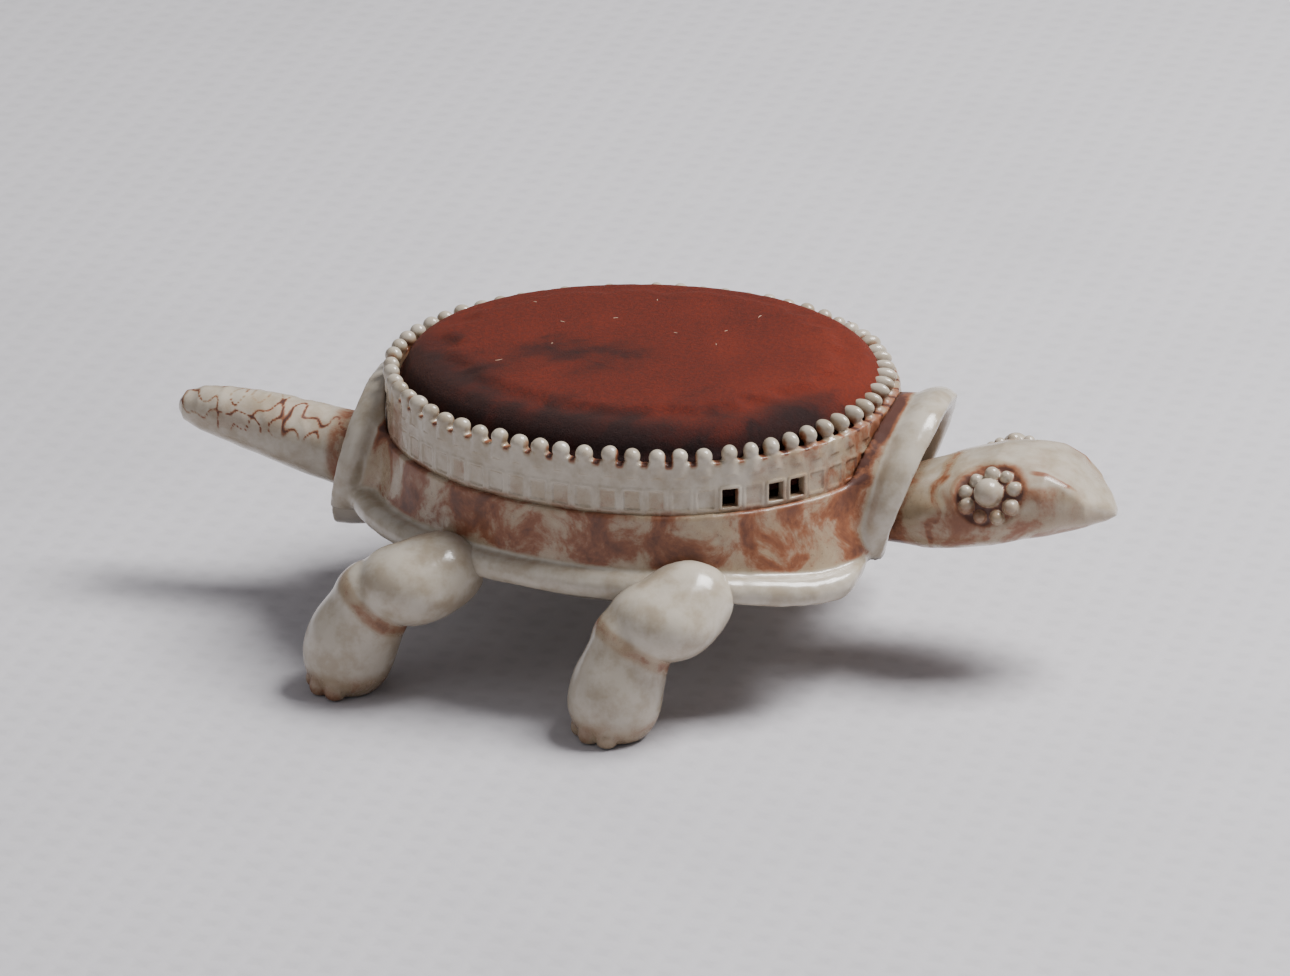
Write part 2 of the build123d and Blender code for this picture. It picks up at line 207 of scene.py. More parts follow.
def oval_distance(x, y, s):
    """How far outside the gallery's oval a point is."""
    ahead = x - s.widest_forward * MM
    half_front, half_rear, side = half_sizes(s)
    half = np.where(ahead > 0, half_front, half_rear)
    r = np.sqrt((ahead / half) ** 2 + (y / side) ** 2)
    slope = np.sqrt((ahead / half**2) ** 2 + (y / side**2) ** 2) + 1e-6
    return (r - 1) * r / slope


def ellipse_distance(y, z, half_w, half_h):
    """How far outside an upright ellipse a point is."""
    r = np.sqrt((y / half_w) ** 2 + (z / half_h) ** 2)
    slope = np.sqrt((y / half_w**2) ** 2 + (z / half_h**2) ** 2) + 1e-6
    return (r - 1) * r / slope


# ------------------------------------------------------------------ from a field to a mesh
def sample(field, low, high, cell):
    """The field's values on a grid, worked out one slice at a time."""
    count = np.ceil((high - low) / cell).astype(int) + 1
    xs, ys, zs = (low[i] + cell * np.arange(count[i]) for i in range(3))
    y, z = (g.ravel() for g in np.meshgrid(ys, zs, indexing="ij"))
    values = np.empty(count, np.float32)
    for i, x in enumerate(xs):
        values[i] = field(np.stack([np.full(y.size, x), y, z], 1)).reshape(count[1:])
    return values


def net(values, low, cell):
    """Vertices and faces of the surface where the sampled field is zero."""
    inside = values < 0
    count = np.array(values.shape)
    offsets = np.array([(i, j, k) for i in (0, 1) for j in (0, 1) for k in (0, 1)])
    filled = np.zeros(count - 1, np.int8)
    for i, j, k in offsets:
        filled += inside[i:count[0] - 1 + i, j:count[1] - 1 + j, k:count[2] - 1 + k]
    cells = np.argwhere((filled > 0) & (filled < 8))
    index = np.full(count - 1, -1, np.int64)
    index[tuple(cells.T)] = np.arange(len(cells))
    total, hits = np.zeros((len(cells), 3)), np.zeros(len(cells))
    for start in offsets:
        for axis in range(3):
            if start[axis]:
                continue
            end = start.copy()
            end[axis] = 1
            a, b = values[tuple((cells + start).T)], values[tuple((cells + end).T)]
            crossed = (a < 0) != (b < 0)
            point = np.repeat(start[None].astype(float), len(cells), 0)
            point[:, axis] += np.where(crossed, a / np.where(crossed, a - b, 1), 0)
            total += point * crossed[:, None]
            hits += crossed
    vertices = low + cell * (cells + total / hits[:, None])
    faces = []
    for axis in range(3):
        u, v = (axis + 1) % 3, (axis + 2) % 3
        before, after = [slice(None)] * 3, [slice(None)] * 3
        before[axis], after[axis] = slice(0, -1), slice(1, None)
        edges = np.argwhere(inside[tuple(before)] != inside[tuple(after)])
        keep = (edges[:, u] > 0) & (edges[:, u] < count[u] - 1)
        keep &= (edges[:, v] > 0) & (edges[:, v] < count[v] - 1)
        edges = edges[keep]
        du, dv = np.eye(3, dtype=int)[u], np.eye(3, dtype=int)[v]
        quads = np.stack([index[tuple((edges - back).T)] for back in (du + dv, dv, 0 * du, du)], 1)
        leaving = inside[tuple(edges.T)]
        faces.append(np.where(leaving[:, None], quads, quads[:, ::-1]))
    return vertices, np.concatenate(faces)


def slope_of(field, p, reach):
    """The field's value and gradient at each point."""
    gradient = np.empty_like(p)
    for axis in range(3):
        shift = np.zeros(3)
        shift[axis] = reach
        gradient[:, axis] = (field(p + shift) - field(p - shift)) / (2 * reach)
    return field(p), gradient


def settle(field, p, cell, rounds=2):
    """Moves points onto the field's surface, at most half a cell each time."""
    for _ in range(rounds):
        value, gradient = slope_of(field, p, cell * 0.3)
        size = (gradient * gradient).sum(1) + 1e-6
        move = -gradient * (value / size)[:, None]
        far = np.sqrt((move * move).sum(1)) + 1e-9
        p = p + move * np.minimum(1, 0.5 * cell / far)[:, None]
    return p


def write_attributes(mesh, attributes):
    """Stores point attributes that the materials read."""
    for key, values in attributes.items():
        layer = mesh.attributes.new(key, "FLOAT", "POINT")
        layer.data.foreach_set("value", np.asarray(values, np.float32))


def mesh_object(name, vertices, faces, **attributes):
    """A smooth-shaded object from vertices in millimetres, with point attributes."""
    mesh = bpy.data.meshes.new(name)
    mesh.vertices.add(len(vertices))
    mesh.vertices.foreach_set("co", (np.asarray(vertices) / MM).astype(np.float32).ravel())
    mesh.loops.add(faces.size)
    mesh.loops.foreach_set("vertex_index", faces.astype(np.int32).ravel())
    mesh.polygons.add(len(faces))
    mesh.polygons.foreach_set("loop_start", np.arange(0, faces.size, faces.shape[1], dtype=np.int32))
    mesh.polygons.foreach_set("loop_total", np.full(len(faces), faces.shape[1], np.int32))
    mesh.update(calc_edges=True)
    mesh.validate()
    mesh.shade_smooth()
    write_attributes(mesh, attributes)
    made = bpy.data.objects.new(name, mesh)
    bpy.context.scene.collection.objects.link(made)
    return made


def cast(name, field, low, high, cell, paint):
    """A casting: the surface of a field, painted by paint(points, field), which returns attributes."""
    low, high = np.array(low, float), np.array(high, float)
    vertices, faces = net(sample(field, low, high, cell), low, cell)
    vertices = settle(field, vertices, cell)
    return mesh_object(name, vertices, faces, **paint(vertices))


def fit(piece, body, slot_name, *nodes):
    """Parents a piece to the body it rides on and hides the frame nodes it stands for. slot_name is not used.
    """
    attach(piece, body)
    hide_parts(*nodes)
    return piece


# ------------------------------------------------------------------ shell casting
def hood_fields(p, h, way):
    """A hood's outer ellipse, its rim plane and its start. way is 1 at the neck and -1 at the tail."""
    which = "neck" if way > 0 else "tail"
    reach, height, lean, half_w, half_h = (
        getattr(h, f"{which}_{size}") for size in ("reach", "height", "lean", "half_width", "half_height")
    )
    along = way * p[:, 0]
    from_rim = (along - reach * MM) * cos(lean) - (p[:, 2] - height * MM) * sin(lean)
    share = np.clip((along - h.root * MM) / ((reach - h.root) * MM), 0, 1)
    root_wide = half_w * h.root_share + h.root_flare
    wide = (root_wide + (half_w - root_wide) * share) * MM
    tall = half_h * (h.root_share + (1 - h.root_share) * share) * MM
    middle = height * MM + 0.4 * (1 - share)
    out = ellipse_distance(p[:, 1], p[:, 2] - middle, wide, tall)
    return out, from_rim, h.root * MM - along


def margin_field(p, s):
    """The rolled margin that runs round the shell's lower edge."""
    o = oval_distance(p[:, 0], p[:, 1], s)
    ends = np.clip((p[:, 0] + 5) / 24, -1.2, 1.15) ** 2
    outset = (s.waist_outset + s.quarter_outset * ends) * MM
    drop = 1.2 * step(12, 24, p[:, 0])
    height = s.margin_height * MM - drop
    return o, outset, height


def shell_parts(p):
    """The fields that the shell is made from."""
    s, h = bpy.context.scene.turtle_shell, bpy.context.scene.turtle_hoods
    o, outset, height = margin_field(p, s)
    z = p[:, 2]
    fall = np.clip((DECK_TOP - z) / (DECK_TOP - height), 0, 1.2)
    wall_out = 0.5 + (outset - 0.75 - 0.5) * fall**1.25
    body = smooth_max(o - wall_out, z - DECK_TOP, 0.35)
    roll = np.sqrt((o - outset + s.margin_radius * MM - 0.9) ** 2 + (z - height) ** 2) - s.margin_radius * MM
    hoods, lips, passages = [], [], []
    for way in (1, -1):
        out, from_rim, start = hood_fields(p, h, way)
        hood = np.maximum(np.maximum(out, from_rim), start)
        half_band = s.lip_width * MM / 2 * (1 + 0.3 * step(18, 26, z))
        lip = ellipse_distance(out + 0.45, from_rim + half_band, 0.45 + s.lip_proud * MM, half_band)
        lip = np.maximum(lip, start)
        roll = smooth_max(roll, from_rim + 0.7, 1.0)
        body = smooth_max(body, from_rim + 0.9, 1.0)
        hoods.append(hood)
        lips.append(lip)
        passages.append(np.maximum(out + s.wall * MM, start))
    return {"o": o, "z": z, "body": body, "roll": roll, "wall_out": wall_out, "height": height,
            "hoods": np.minimum(*hoods), "lips": np.minimum(*lips), "passages": np.minimum(*passages)}


def shell_field(p):
    """The shell casting."""
    s = bpy.context.scene.turtle_shell
    f = shell_parts(p)
    o, z, wall = f["o"], f["z"], s.wall * MM
    skin = smooth_min(f["body"], f["hoods"], 1.6)
    skin = smooth_min(skin, smooth_min(f["roll"], f["lips"], 1.2), 0.5)
    skin = skin + 0.035 * ripple(p, 5.0, 3) + 0.018 * ripple(p, 1.8, 4)
    cavity = np.maximum(o - f["wall_out"] + wall, z - DECK_TOP + wall)
    opened = np.minimum(cavity, np.maximum(f["passages"], np.minimum(z - DECK_TOP + wall, -o)))
    above = np.maximum(o - 0.12, DECK_TOP - z)
    below = np.maximum(z - f["height"] + 1.45, -f["hoods"])
    solid = smooth_max(skin, -opened, 0.25)
    solid = np.maximum(solid, -above)
    return smooth_max(solid, -below, 0.2)


def shell_paint(p):
    """Where the brown wash lies, with painted shade in the gap beside the gallery, and where the casting is
    bare metal.
    """
    f = shell_parts(p)
    raised = np.minimum(f["roll"], f["lips"])
    wash = step(0.1, 0.8, raised)
    # Wash and painted shade on the shell just outside the gallery at the deck, away from the lips, where the
    # hoods meet the band.
    wash_and_shade_beside_gallery = step(3.0, 1.0, f["o"]) * step(DECK_TOP - 0.6, DECK_TOP + 0.4, f["z"])
    wash = np.maximum(wash, 1.25 * wash_and_shade_beside_gallery * step(0.15, 0.6, f["lips"]))
    bare = step(0.7, 1.3, -f["hoods"]) * step(0.6, 2.2, np.minimum(f["lips"], 9))
    inside = step(0.5, 1.1, f["wall_out"] - f["o"]) * step(0, 0.6, DECK_TOP - f["z"])
    return {"wash": wash, "bare": np.maximum(bare, inside)}


# ------------------------------------------------------------------ belly plate
def belly_floor(o):
    """The height of the dish's underside, from how far outside the oval a point is."""
    rise = np.clip((o + 10.6) / 12.6, 0, 1.15)
    return belly_low[2] + 5.1 * rise**1.7


def belly_field(p):
    """The dish under the shell, with the rim that locates it and a cast rib along it."""
    s, h = bpy.context.scene.turtle_shell, bpy.context.scene.turtle_hoods
    o, outset, height = margin_field(p, s)
    z, wall = p[:, 2], s.wall * MM
    floor = belly_floor(o)
    dish = np.maximum(floor - z, z - height + 1.4)
    dish = smooth_max(dish, o - outset + 0.6, 0.8)
    hollow = np.maximum(floor + wall - z, o - outset + 0.6 + wall)
    plate = smooth_max(dish, -hollow, 0.2)
    rib = np.maximum(np.abs(p[:, 1]) - 0.6, np.maximum(z - floor - wall - 0.8, np.maximum(floor - z, o + 8)))
    plate = smooth_min(plate, rib, 0.5)
    for way in (1, -1):
        out, from_rim, start = hood_fields(p, h, way)
        plate = smooth_max(plate, -np.maximum(out - 0.15, start + 1.5), 0.2)
        plate = smooth_max(plate, from_rim + 1.2, 1.0)
    return plate + 0.03 * ripple(p, 4.0, 31)


def belly_paint(p):
    """Enamel below, and bare casting inside."""
    s = bpy.context.scene.turtle_shell
    o, _, _ = margin_field(p, s)
    return {"wash": 0.55 * step(-9, 0, o), "bare": step(0.5, 0.9, p[:, 2] - belly_floor(o))}


# ------------------------------------------------------------------ legs
def leg_balls(end):
    """The right-hand leg's lobes: middle and radii, from the hip to the foot."""
    if end == "front":
        return (((11.0, -23.6, 13.0), (4.4, 4.2, 3.9)), ((9.0, -26.0, 11.5), (5.5, 4.9, 3.9)),
                ((4.9, -28.2, 4.1), (4.3, 4.1, 4.9)))
    return (((-14.6, -21.6, 12.6), (4.3, 4.2, 3.8)), ((-17.2, -23.8, 11.7), (5.3, 4.8, 4.0)),
            ((-23.4, -23.9, 4.6), (4.2, 4.1, 5.0)))


def leg_field(p, end, side):
    """A chubby leg: a thigh and a foot with a crease between, and scalloped toes. side is 1 on the left."""
    s, limbs = bpy.context.scene.turtle_shell, bpy.context.scene.turtle_limbs
    q = p * np.array([1, -side, 1])
    hip, thigh, foot = leg_balls(end)
    solid = smooth_min(ball(q, *hip), ball(q, *thigh), 1.6)
    knee = np.array(thigh[0]) * 0.55 + np.array(foot[0]) * 0.45
    sole = np.array(foot[0]) * (1, 1, 0)
    lower = rod(q, knee + (-0.9, 0, 1.1), sole + (-0.3, 0, 3.4), 4.1, 4.05)
    solid = smooth_min(solid, smooth_min(ball(q, *foot), lower, 1.6), 0.4)
    facing = radians(222 if end == "front" else 212)
    for turn in (-1.05, -0.42, 0.21, 0.84):
        way = np.array([cos(facing + turn), sin(facing + turn), 0])
        size = limbs.toe * MM
        toe = rod(q, sole + way * 2.6 + (0, 0, 3.2), sole + way * 3.3 + (0, 0, 0.9), size, size)
        solid = smooth_min(solid, toe, 0.25)
    o, outset, _ = margin_field(p, s)
    solid = smooth_max(solid, -(o - outset + 0.9) - np.maximum(12.0 - p[:, 2], 0), 0.3)
    return smooth_max(solid + 0.02 * ripple(q, 2.6, 41), 0.06 - p[:, 2], 0.25)


def leg_paint(end, side):
    """Wash in the crease, between the toes and where the thigh meets the shell."""
    _, (thigh, _), (foot, _) = leg_balls(end)
    thigh, foot = np.array(thigh), np.array(foot)
    middle = thigh * 0.45 + foot * 0.55
    upward = (thigh - foot) / np.linalg.norm(thigh - foot)

    def paint(p):
        q = p * np.array([1, -side, 1])
        along = (q - middle) @ upward
        crease = step(1.2, 0.1, np.abs(along - 1.4)) * 0.9 + 0.12
        toes = step(4.2, 0.5, p[:, 2]) * (1.0 if end == "rear" else 0.75)
        return {"wash": np.maximum(crease, toes), "bare": step(0.25, 0.02, p[:, 2])}

    return paint


# ------------------------------------------------------------------ gallery
def round_the_oval(p, s):
    """How far round the oval each point is, in millimetres, and the whole way round."""
    half_front, half_rear, side = half_sizes(s)
    turn = np.linspace(0, 2 * pi, 1441)
    half = np.where(np.cos(turn) > 0, half_front, half_rear)
    x, y = half * np.cos(turn), side * np.sin(turn)
    gone = np.concatenate([[0], np.cumsum(np.hypot(np.diff(x), np.diff(y)))])
    ahead = p[:, 0] - s.widest_forward * MM
    at = np.arctan2(p[:, 1] / side, ahead / np.where(ahead > 0, half_front, half_rear)) % (2 * pi)
    return np.interp(at, turn, gone), gone[-1]


def gallery_places(p):
    """Which prong is nearest, and how far a point is along from it, outside the band and above the deck."""
    s, g = bpy.context.scene.turtle_shell, bpy.context.scene.turtle_gallery
    gone, whole = round_the_oval(p, s)
    pitch = whole / g.prongs
    which = np.round(gone / pitch).astype(int)
    return which % g.prongs, gone - which * pitch, oval_distance(p[:, 0], p[:, 1], s), p[:, 2] - DECK_TOP


def window_depths(g):
    """How deep each window is before the enamel that clogs it: right through where it is open."""
    rng = np.random.default_rng(12)
    depth = rng.uniform(0.0, 0.09, g.prongs)
    open_ones = rng.random(g.prongs) < g.open_share
    number = np.arange(g.prongs)
    left_hand = open_ones & (number < g.prongs // 2)
    near_shoulder = np.isin(number, (g.prongs - 10, g.prongs - 8, g.prongs - 7))
    return np.where(left_hand | near_shoulder, 2.0, depth)


def beside_window(along, up, g):
    """How far each point is beyond a window's sides, and beyond its sill or its head."""
    beside = np.abs(along) - g.window_width * MM / 2
    return beside, np.abs(up - g.window_middle * MM) - g.window_height * MM / 2


def gallery_field(p):
    """The pierced band, its framed windows and its prongs, bent in over the velvet towards the nose."""
    g = bpy.context.scene.turtle_gallery
    which, along, o, up = gallery_places(p)
    depth = window_depths(g)[which]
    rng = np.random.default_rng(11)
    slip, lift, fat = (rng.uniform(-1, 1, g.prongs)[which] for _ in range(3))
    band, top = g.band * MM, g.band_top * MM
    wall = smooth_max(o, np.maximum(-o - band, np.maximum(up - top - 0.15, -up - 0.25)), 0.25)
    beside, over = beside_window(along, up, g)
    corner = np.sqrt(np.maximum(beside, 0) ** 2 + np.maximum(over, 0) ** 2)
    hole = corner + np.minimum(np.maximum(beside, over), 0)
    clear = depth > 1
    frame_bar = np.maximum(np.abs(hole - 0.17) - 0.17, np.abs(o) - np.where(clear, 0.14, 0.02))
    wall = smooth_min(wall, frame_bar, 0.14)
    wall = smooth_max(wall, -np.maximum(hole - 0.02, -(o + depth)), 0.14)
    reach = step(0.35, 0.95, (p[:, 0] - 4) / 22)
    local = np.stack([along - 0.14 * slip, o + band * 0.55, up], 1)
    bead_up, stem = g.bead_height * MM + 0.12 * lift, g.prong_radius * MM
    bead = g.bead_radius * MM * (1 + 0.07 * fat)
    finger_in = 1.15 * reach
    t = np.clip((local[:, 2] - (top - 0.6)) / (bead_up - top + 0.6), 0, 1)
    stem_field = np.sqrt(local[:, 0] ** 2 + (local[:, 1] + finger_in * t * t) ** 2) - stem * (1 - 0.12 * t)
    stem_field = np.maximum(stem_field, np.maximum(top - 1.1 - up, up - bead_up))
    ball_at = local + np.stack([np.zeros(len(p)), finger_in, -bead_up - 0.25 * reach], 1)
    stretched = ball_at / np.stack([1 - 0.12 * reach, 1 + 0.55 * reach, np.ones(len(p))], 1)
    ball_field = np.sqrt((stretched**2).sum(1)) - bead
    return smooth_min(wall, smooth_min(stem_field, ball_field, 0.3), 0.4) + 0.012 * ripple(p, 1.1, 17)


def gallery_paint(p):
    """Dark wash between the prongs and in the windows, faint wash on the clogged ones."""
    g = bpy.context.scene.turtle_gallery
    which, along, o, up = gallery_places(p)
    in_window = step(0.15, -0.12, np.maximum(*beside_window(along, up, g)))
    rng = np.random.default_rng(13)
    tinted = rng.uniform(0.05, 0.6, g.prongs)[which]
    deep = window_depths(g)[which] > 1
    windows = in_window * np.where(deep, 1.5, tinted)
    between = step(0.62, 1.05, np.abs(along)) * step(4.5, 5.2, up) * 1.3
    inner = step(0.55, 0.95, -o) * step(6.6, 5.6, up)
    seam = step(0.9, 0.1, up) * 0.45 + 0.18
    shoulder = step(12, 23, p[:, 0]) * step(6.2, 5.0, up) * 0.95
    shoulder = np.maximum(shoulder, step(-14, -24, p[:, 0]) * step(6.0, 4.0, up) * 0.55)
    return {"wash": np.maximum.reduce([windows, between, inner, seam, shoulder]), "bare": np.zeros(len(p))}


# ------------------------------------------------------------------ head and tail
def section(p, along, low, high, half_w, power=2.3):
    """A limb whose underside, top and half width are given along it, with a squarish round section."""
    x = p[:, 0]
    bottom, top, wide = (np.interp(x, along, values) for values in (low, high, half_w))
    middle, tall = (bottom + top) / 2, (top - bottom) / 2
    a, b = np.abs(p[:, 1]) / wide, np.abs(p[:, 2] - middle) / tall
    r = (a**power + b**power + 1e-9) ** (1 / power)
    shape = (r - 1) * np.minimum(wide, tall)
    return np.maximum(shape, np.maximum(along[0] - x, x - along[-1]))


def head_body(p):
    """The head without its eyes: a rounded back and sides, and a flattened snout between two ridges."""
    low, high = head_low[0], head_high[0]
    along = low + np.array([0, 5.4, 9, 12.2, 17.4, 19.6, 21.4, 22.9, high - low])
    under = (12.4, 12.1, 12.5, 13.1, 14.5, 15.1, 15.6, 16.1, 16.5)
    over = (17.9, 20.1, 21.5, 22.5, 22.9, 22.5, 21.3, 19.0, 17.4)
    wide = (5.4, 6.6, 7.1, 7.3, 6.3, 5.3, 4.2, 2.1, 0.5)
    body = section(p, along, under, over, wide)
    snout = np.interp(p[:, 0], low + np.array([0, 12.0, 15.4, 17.8, 19.7, 21.4, 23.3, high - low]),
                      (30, 24.0, 22.5, 21.9, 20.9, 19.2, 17.6, 17.0))
    steep = np.interp(p[:, 0], low + np.array([0, 15, 19, 21, high - low]), (1, 0.95, 0.75, 0.62, 0.62))
    plane = (p[:, 2] - snout) * steep - 0.25 * step(4.5, 0, np.abs(p[:, 1]))
    return smooth_max(body, plane, 0.35)


def eye_places(side, limbs):
    """Where an eye's bead and the ring of small beads round it sit on the head, the bead first."""
    way = np.array([0.10, side * 0.90, 0.42])
    way /= np.linalg.norm(way)
    across = np.cross((0, 0, 1), way)
    across /= np.linalg.norm(across)
    up = np.cross(way, across)
    middle = np.array([head_low[0] + 12.2, side * 6.3, 20.1])
    places = [middle]
    for i in range(9):
        turn = 2 * pi * (i + 0.3) / 9
        places.append(middle + limbs.ring * MM * (cos(turn) * across + sin(turn) * up))
    return settle(head_body, np.array(places), 1.0, 8) - 0.2 * way


def eye_beads(p, places, limbs):
    """An eye's bead and the ring of small beads round it."""
    solid = ball(p, places[0], (limbs.eye * MM,) * 3)
    for i, place in enumerate(places[1:]):
        size = limbs.ring_bead * MM * (1 + 0.12 * sin(4.1 * i))
        solid = smooth_min(solid, ball(p, place, (size,) * 3), 0.12)
    return solid


def head_field(p):
    """The head casting, hollow behind, with its eyes."""
    limbs = bpy.context.scene.turtle_limbs
    body = head_body(p)
    hollow = np.maximum(body + limbs.wall * MM, p[:, 0] - head_low[0] - 14)
    body = body + 0.04 * ripple(p, 3.2, 21)
    for side in (1, -1):
        places = eye_places(side, limbs)
        socket = np.sqrt(((p - places[0]) ** 2).sum(1)) - (limbs.ring + limbs.ring_bead) * MM - 0.1
        body = body + 0.25 * step(0.5, -0.6, socket)
        body = smooth_min(body, eye_beads(p, places, limbs), 0.25)
    return smooth_max(body, -hollow, 0.2)


def head_paint(p):
    """Wash round the eyes, in streaks on the neck and on the snout, and painted shade on the lower sides and
    on the snout's side planes.
    """
    limbs = bpy.context.scene.turtle_limbs
    x = p[:, 0] - head_low[0]
    eyes = np.zeros(len(p))
    for side in (1, -1):
        places = eye_places(side, limbs)
        beads = eye_beads(p, places, limbs)
        away = np.sqrt(((p - places[0]) ** 2).sum(1))
        eyes = np.maximum(eyes, 1.45 * step(4.9, 2.7, away) * step(-0.02, 0.2, beads))
    streak = step(1.2, 0.2, np.abs(x - 6.6 - 0.12 * (p[:, 2] - 17) - 0.3 * ripple(p, 3, 22))) * 1.1
    neck = step(6.0, 3.0, x) * 1.15
    snout = step(14.5, 16, x) * step(-0.9, -0.1, (p[:, 2] - 25.4) + np.maximum(x - 14, 0) * 0.55) * 0.45
    crest = step(0.5, 0.1, np.abs(np.abs(p[:, 1]) - 4.4 + np.maximum(x - 19.6, 0) * 0.8))
    crest = crest * step(15, 17, x) * step(19.5, 21, p[:, 2]) * 0.9
    # Painted shade: darker on the head's lower sides, over a thin wash all over.
    shade = 0.55 * step(0.5, 3.5, 21.0 - p[:, 2]) * step(2, 5, np.abs(p[:, 1])) + 0.25
    # Painted shade on the snout's side planes, below the ridges.
    shaded_side_plane = step(13.5, 16, x) * step(0.3, 1.4, 21.9 - 0.9 * np.maximum(x - 19, 0) - p[:, 2]) * 0.6
    wash = np.maximum.reduce([eyes, streak, neck, snout, crest, shaded_side_plane, shade])
    return {"wash": wash, "bare": step(0.6, 0.1, x)}


def tail_field(p):
    """The tail casting: a tapered club with a flattened top, scored across by old cracks."""
    limbs = bpy.context.scene.turtle_limbs
    q = p * np.array([-1, 1, 1])
    tip = -tail_low[0]
    start = -tail_high[0]
    along = np.array([*(start + np.array([0, 6.9, 11.5, 15.9, 20, 22.4])), tip - 0.6, tip])
    under = (12.2, 11.7, 12.8, 14.2, 15.4, 16.1, 16.9, 17.9)
    over = (18.8, 19.3, 20.0, 20.6, 20.8, 20.6, 20.0, 19.1)
    wide = (3.6, 4.1, 3.8, 3.35, 2.75, 2.2, 1.5, 0.6)
    body = section(q, along, under, over, wide, 2.15)
    scales = 0.05 * np.abs(ripple(q * np.array([1.6, 0.6, 0.6]), 3.0, 25)) * step(15.5, 18, q[:, 2])
    hollow = np.maximum(body + limbs.wall * MM, q[:, 0] - start - 15)
    body = body + 0.03 * ripple(q, 2.4, 24) + scales
    return smooth_max(body, -hollow, 0.2)


def tail_paint(p):
    """A band of painted shadow at the root, behind the hood's rim, cracks along the top and a smooth
    underside.
    """
    x = -p[:, 0] + tail_high[0]
    # Painted shadow: a dark band at the tail's root, behind the hood's rim.
    root = step(9.2, 6.8, x)
    crackle = np.abs(ripple(p * np.array([1.0, 0.5, 0.8]), 2.0, 26))
    cracks = step(0.22, 0.02, crackle) * step(16.8, 18.3, p[:, 2])
    wash = np.maximum.reduce([root, 1.3 * cracks, 0.25 * step(16, 18, p[:, 2])])
    return {"wash": wash, "bare": step(1.2, 0.2, x)}


# ------------------------------------------------------------------ cushion
def cushion_start(context):
    """The slightly slack cushion that the stuffing then fills: an oval cap over a flat base."""
    s, c = context.scene.turtle_shell, context.scene.turtle_cushion
    inset, edge = c.inset * MM, 26.0
    half_front, half_rear, half_width = half_sizes(s)
    rings = ((0, velvet_low[2]), (0, edge - 1.2), (0.1, edge), (0.3, edge + 1.2), (1.0, edge + 2.3),
             (2.4, edge + 3.0), (5, edge + 3.2), (10, edge + 3.25), (18, edge + 3.25))
    turns = 144
    vertices, faces = [], []
    for shrink, height in rings:
        for i in range(turns):
            turn = 2 * pi * i / turns
            half = (half_front if cos(turn) > 0 else half_rear) - inset - shrink
            side = half_width - inset - shrink
            vertices.append((s.widest_forward * MM + half * cos(turn), side * sin(turn), height))
    for ring in range(len(rings) - 1):
        for i in range(turns):
            a, b = ring * turns + i, ring * turns + (i + 1) % turns
            faces.append((a, b, b + turns, a + turns))
    faces.append(tuple(range(turns - 1, -1, -1)))
    faces.append(tuple((len(rings) - 1) * turns + i for i in range(turns)))
    return vertices, faces


def filling_cover(p, s):
    """How far each point is outside the filling's crown."""
    top = corners_mm("cushion_filling")[1][2]
    inset, rounding = 2.0, 2.5
    beyond = oval_distance(p[:, 0], p[:, 1], s) + inset + rounding
    above = p[:, 2] - top + rounding
    corner = np.sqrt(np.maximum(beyond, 0) ** 2 + np.maximum(above, 0) ** 2)
    return corner + np.minimum(np.maximum(beyond, above), 0) - rounding


def stuffed(context, grown=10.0):
    """The cushion's mesh after its cloth is filled. The cloth is run grown times larger than life."""
    s, c = context.scene.turtle_shell, context.scene.turtle_cushion
    vertices, faces = cushion_start(context)
    mesh = bpy.data.meshes.new("cushion")
    mesh.from_pydata([tuple(v * grown / MM for v in p) for p in vertices], [], faces)
    piece = bpy.data.objects.new("cushion", mesh)
    context.scene.collection.objects.link(piece)
    context.view_layer.objects.active = piece
    remesh = piece.modifiers.new("remesh", "REMESH")
    remesh.mode, remesh.voxel_size = "VOXEL", c.voxel * grown
    apply_modifiers(context, piece)
    before = points_of(piece)
    held = piece.vertex_groups.new(name="held")
    held_below = 26.2
    low = (before[:, 2] * MM / grown) < held_below
    held.add([int(i) for i in np.flatnonzero(low)], 1.0, "REPLACE")
    cloth = piece.modifiers.new("cloth", "CLOTH")
    cloth.settings.quality = 5
    cloth.settings.use_pressure = True
    cloth.settings.uniform_pressure_force = c.pressure
    cloth.settings.effector_weights.gravity = 0
    cloth.settings.vertex_group_mass = "held"
    for number in range(1, 21):
        context.scene.frame_set(number)
    apply_modifiers(context, piece)
    context.scene.frame_set(1)
    after = points_of(piece)
    move = after - before
    far = np.sqrt((move**2).sum(1))[:, None] + 1e-9
    cap = c.puff * grown
    points = (before + move * np.minimum(1, cap / far)) * MM / grown
    inside = -oval_distance(points[:, 0], points[:, 1], s)
    wear = 0.6 * ripple(points, 16, 51) + 0.25 * ripple(points, 6, 52)
    sink = c.dimple * MM * wear * step(2.5, 7, inside)
    points[:, 2] = np.minimum(points[:, 2] + sink, velvet_high[2] + 0.15)
    cover, covered_above = 0.22, 23.5
    for _ in range(3):
        value, slope = slope_of(lambda q: filling_cover(q, s), points, 0.05)
        points += slope * np.maximum(cover - value, 0)[:, None] * (points[:, 2] > covered_above)[:, None]
    points[:, 2] += 0.03 * ripple(points, 1.3, 53) * step(26, 27.5, points[:, 2])
    piece.data.vertices.foreach_set("co", (points / MM).astype(np.float32).ravel())
    round_off = piece.modifiers.new("round_off", "SUBSURF")
    round_off.levels = round_off.render_levels = 1
    apply_modifiers(context, piece)
    piece.data.shade_smooth()
    return piece


def points_of(piece):
    """An object's vertices as an array."""
    points = np.empty(len(piece.data.vertices) * 3, np.float32)
    piece.data.vertices.foreach_get("co", points)
    return points.reshape(-1, 3).astype(float)


def apply_modifiers(context, piece):
    """Puts an object's modifiers into its mesh."""
    graph = context.evaluated_depsgraph_get()
    done = bpy.data.meshes.new_from_object(piece.evaluated_get(graph))
    piece.modifiers.clear()
    piece.data = done


